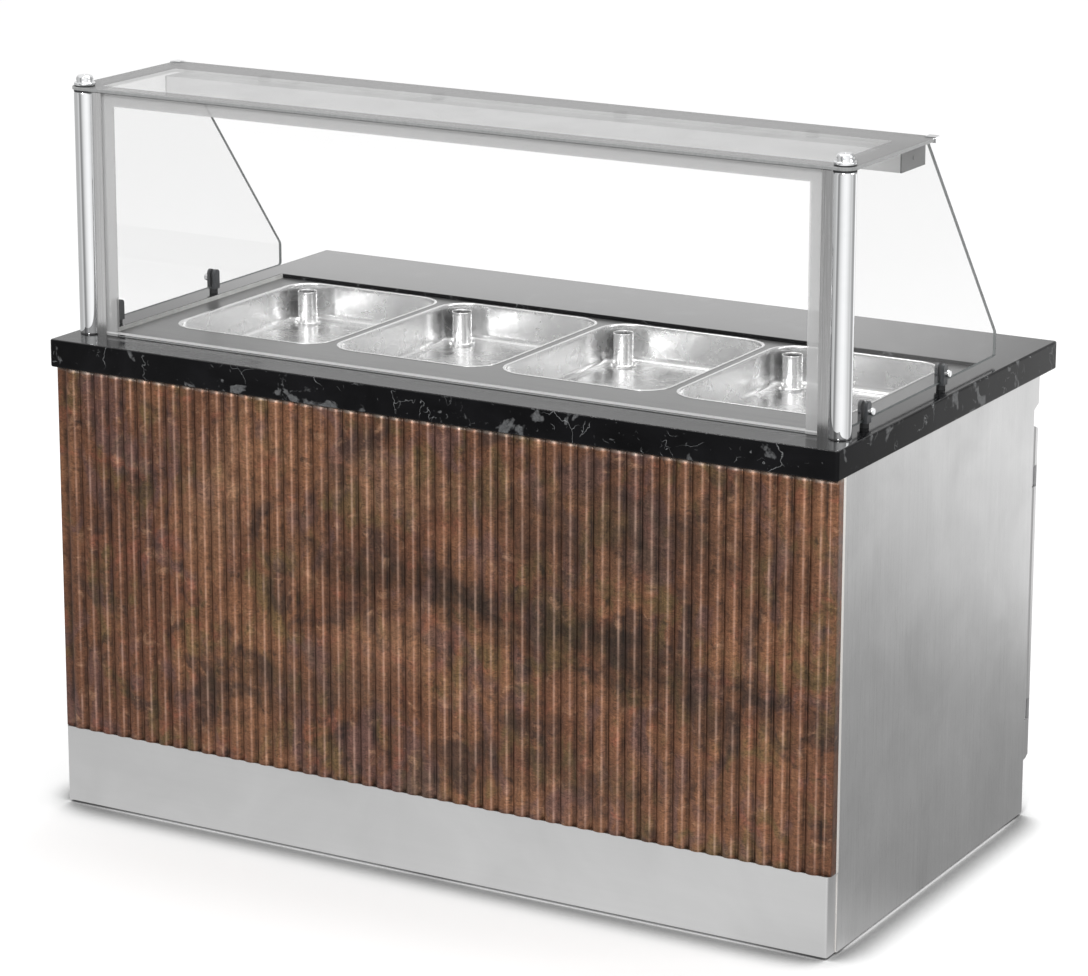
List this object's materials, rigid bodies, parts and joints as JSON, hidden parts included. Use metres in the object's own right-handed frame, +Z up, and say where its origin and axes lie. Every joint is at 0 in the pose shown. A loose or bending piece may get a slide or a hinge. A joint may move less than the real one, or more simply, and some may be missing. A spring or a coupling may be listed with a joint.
{
  "type": "bain marie counter",
  "caption": "Free-standing heated serving counter with a ribbed copper front, a dark stone top, steel wells, a glass screen on round posts and a lamp under the top glass.",
  "frame": {"origin": "centre of the footprint, on the floor under the feet", "axes": "+X along the counter to the customer's right, +Y towards the server, +Z up"},
  "size_m": [1.6, 0.925, 1.375],
  "materials": {
    "polished_marble": "black marble, polished",
    "brushed_steel": "brushed stainless steel sheet",
    "satin_plinth": "satin stainless steel sheet",
    "bright_trim": "bright stainless steel angle",
    "tank_steel": "pressed stainless steel, bright inside",
    "aged_copper": "aged copper look with a dark cloudy patina",
    "backing_board": "raw board",
    "galvanised_frame": "galvanised steel angle",
    "black_plastic": "moulded black plastic",
    "red_rocker": "glossy red plastic",
    "black_rocker": "glossy black plastic",
    "amber_lens": "amber lens",
    "brass_valve": "cast brass",
    "drain_pipe": "light grey pipe",
    "lever_red": "plastic-dipped steel lever",
    "heater_mat": "silicone heating mat",
    "hinge_steel": "zinc plated steel",
    "polished_steel": "mirror polished stainless steel",
    "channel_aluminium": "satin aluminium channel",
    "frosted_glass": "clear glass with a frosted border",
    "clear_glass": "clear glass with polished edges",
    "dark_rubber": "moulded dark rubber",
    "clip_grey": "dark grey moulded clip",
    "lamp_aluminium": "light grey satin aluminium",
    "lamp_cap_grey": "grey moulded cap",
    "lamp_diffuser": "opal diffuser",
    "led_board": "white circuit strip"
  },
  "bodies": {
    "counter": {"marble_top": "polished_marble", "side_panels": "brushed_steel", "control_box": "brushed_steel", "rear_plinth": "brushed_steel", "rear_header": "brushed_steel", "cabinet_floor": "brushed_steel", "cabinet_partition": "brushed_steel", "service_shield": "brushed_steel", "front_plinth": "satin_plinth", "corner_uprights": "bright_trim", "well_surround": "tank_steel", "tank_1": "tank_steel", "tank_2": "tank_steel", "tank_3": "tank_steel", "tank_4": "tank_steel", "drain_sockets": "tank_steel", "ribbed_front": "aged_copper", "front_board": "backing_board", "top_frame": "galvanised_frame", "base_frame": "galvanised_frame", "levelling_feet": "black_plastic", "thermostats": "black_plastic", "switch_frames": "black_plastic", "cable_gland": "black_plastic", "door_magnets": "black_plastic", "pilot_lamps": "amber_lens", "drain_valve": "brass_valve", "drain_manifold": "drain_pipe", "heater_pads": "heater_mat", "door_hinges": "hinge_steel", "post_fixings": "hinge_steel", "posts": "polished_steel", "post_caps": "polished_steel", "corner_brackets": "polished_steel", "clip_screws": "polished_steel", "glass_channels": "channel_aluminium", "top_glass": "frosted_glass", "front_glass": "frosted_glass", "side_glasses": "clear_glass", "rubber_pads": "dark_rubber", "glass_clips": "clip_grey", "lamp_housing": "lamp_aluminium", "lamp_end_caps": "lamp_cap_grey", "lamp_diffuser": "lamp_diffuser", "led_strip": "led_board"},
    "door_left_outer": {"door_1": "brushed_steel"},
    "door_left_inner": {"door_2": "brushed_steel"},
    "door_right_inner": {"door_3": "brushed_steel"},
    "door_right_outer": {"door_4": "brushed_steel"},
    "standpipe_1": {"standpipe_1": "tank_steel"},
    "standpipe_2": {"standpipe_2": "tank_steel"},
    "standpipe_3": {"standpipe_3": "tank_steel"},
    "standpipe_4": {"standpipe_4": "tank_steel"},
    "knob_1": {"thermostat_knob_1": "black_plastic"},
    "knob_2": {"thermostat_knob_2": "black_plastic"},
    "knob_3": {"thermostat_knob_3": "black_plastic"},
    "knob_4": {"thermostat_knob_4": "black_plastic"},
    "power_rocker": {"power_rocker": "red_rocker"},
    "lamp_rocker": {"lamp_rocker": "black_rocker"},
    "drain_lever": {"drain_lever": "lever_red"}
  },
  "joints": [
    {"name": "door_left_outer_hinge", "type": "hinge", "parent": "counter", "child": "door_left_outer", "pos_m": [-0.785, 0.3863, 0.43], "axis": [0, 0, 1], "range_deg": [0, 90]},
    {"name": "door_left_inner_hinge", "type": "hinge", "parent": "counter", "child": "door_left_inner", "pos_m": [-0.015, 0.3863, 0.43], "axis": [0, 0, -1], "range_deg": [0, 90]},
    {"name": "door_right_inner_hinge", "type": "hinge", "parent": "counter", "child": "door_right_inner", "pos_m": [0.015, 0.3863, 0.43], "axis": [0, 0, 1], "range_deg": [0, 90]},
    {"name": "door_right_outer_hinge", "type": "hinge", "parent": "counter", "child": "door_right_outer", "pos_m": [0.785, 0.3863, 0.43], "axis": [0, 0, -1], "range_deg": [0, 90]},
    {"name": "standpipe_1_lift", "type": "slide", "parent": "counter", "child": "standpipe_1", "axis": [0, 0, 1], "range_m": [0, 0.09]},
    {"name": "standpipe_2_lift", "type": "slide", "parent": "counter", "child": "standpipe_2", "axis": [0, 0, 1], "range_m": [0, 0.09]},
    {"name": "standpipe_3_lift", "type": "slide", "parent": "counter", "child": "standpipe_3", "axis": [0, 0, 1], "range_m": [0, 0.09]},
    {"name": "standpipe_4_lift", "type": "slide", "parent": "counter", "child": "standpipe_4", "axis": [0, 0, 1], "range_m": [0, 0.09]},
    {"name": "knob_1_turn", "type": "hinge", "parent": "counter", "child": "knob_1", "pos_m": [-0.225, 0.403, 0.82], "axis": [0, -1, 0], "range_deg": [0, 270]},
    {"name": "knob_2_turn", "type": "hinge", "parent": "counter", "child": "knob_2", "pos_m": [-0.075, 0.403, 0.82], "axis": [0, -1, 0], "range_deg": [0, 270]},
    {"name": "knob_3_turn", "type": "hinge", "parent": "counter", "child": "knob_3", "pos_m": [0.075, 0.403, 0.82], "axis": [0, -1, 0], "range_deg": [0, 270]},
    {"name": "knob_4_turn", "type": "hinge", "parent": "counter", "child": "knob_4", "pos_m": [0.225, 0.403, 0.82], "axis": [0, -1, 0], "range_deg": [0, 270]},
    {"name": "power_rocker_tilt", "type": "hinge", "parent": "counter", "child": "power_rocker", "pos_m": [0.33, 0.3925, 0.82], "axis": [0, 0, -1], "range_deg": [0, 20]},
    {"name": "lamp_rocker_tilt", "type": "hinge", "parent": "counter", "child": "lamp_rocker", "pos_m": [0.39, 0.3925, 0.82], "axis": [0, 0, -1], "range_deg": [0, 20]},
    {"name": "drain_lever_turn", "type": "hinge", "parent": "counter", "child": "drain_lever", "pos_m": [-0.56, 0.2555, 0.703], "axis": [0, 0, 1], "range_deg": [0, 90]}
  ]
}
